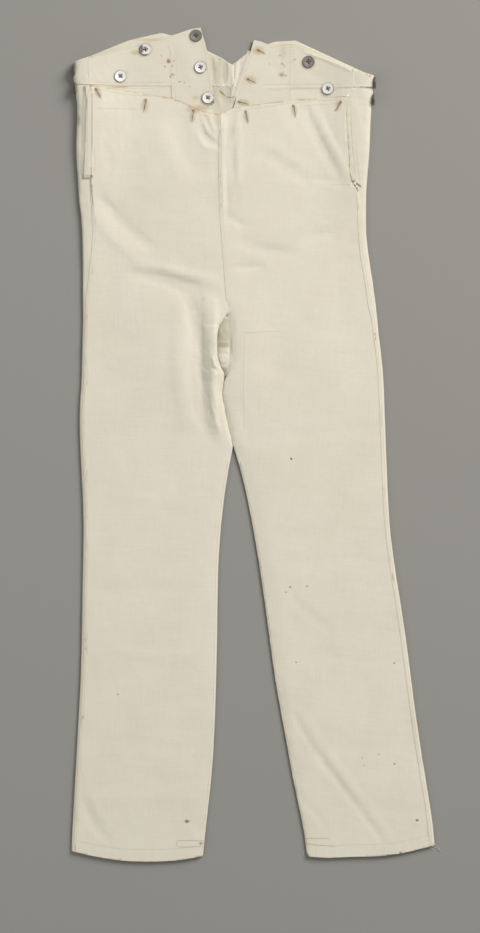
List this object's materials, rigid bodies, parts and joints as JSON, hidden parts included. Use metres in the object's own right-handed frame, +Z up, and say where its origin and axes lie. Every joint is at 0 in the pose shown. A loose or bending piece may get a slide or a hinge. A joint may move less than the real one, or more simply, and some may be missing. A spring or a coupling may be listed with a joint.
{
  "type": "fall-front trousers",
  "caption": "Long linen trousers with a broad buttoned fall front, laid flat on their back.",
  "frame": {"origin": "middle of the bounding box in plan, on the surface that the trousers lie on", "axes": "+Y towards the waist along the trousers' length, +X towards the wearer's left, +Z up, away from the surface"},
  "size_m": [0.4836, 1.1084, 0.0167],
  "materials": {
    "linen": "matt, slubby plain-weave linen, off-white",
    "linen_band": "matt linen, doubled and stitched",
    "button_steel": "tinned metal with rust"
  },
  "bodies": {
    "root": {"back_right": "linen", "back_left": "linen", "front_right": "linen", "front_left": "linen", "fall_placket_right": "linen", "fall_placket_left": "linen", "bearer_right": "linen", "bearer_left": "linen", "waistband_right": "linen_band", "waistband_left": "linen_band", "waistband_end_right": "linen_band", "waistband_end_left": "linen_band", "back_band_right": "linen_band", "back_band_left": "linen_band", "button_front_1": "button_steel", "button_front_2": "button_steel", "button_front_3": "button_steel", "button_brace_right_1": "button_steel", "button_brace_right_2": "button_steel", "button_brace_left_1": "button_steel", "button_brace_left_2": "button_steel", "button_side_right_1": "button_steel", "button_side_right_2": "button_steel", "button_side_left_1": "button_steel", "button_side_left_2": "button_steel"}
  },
  "joints": []
}
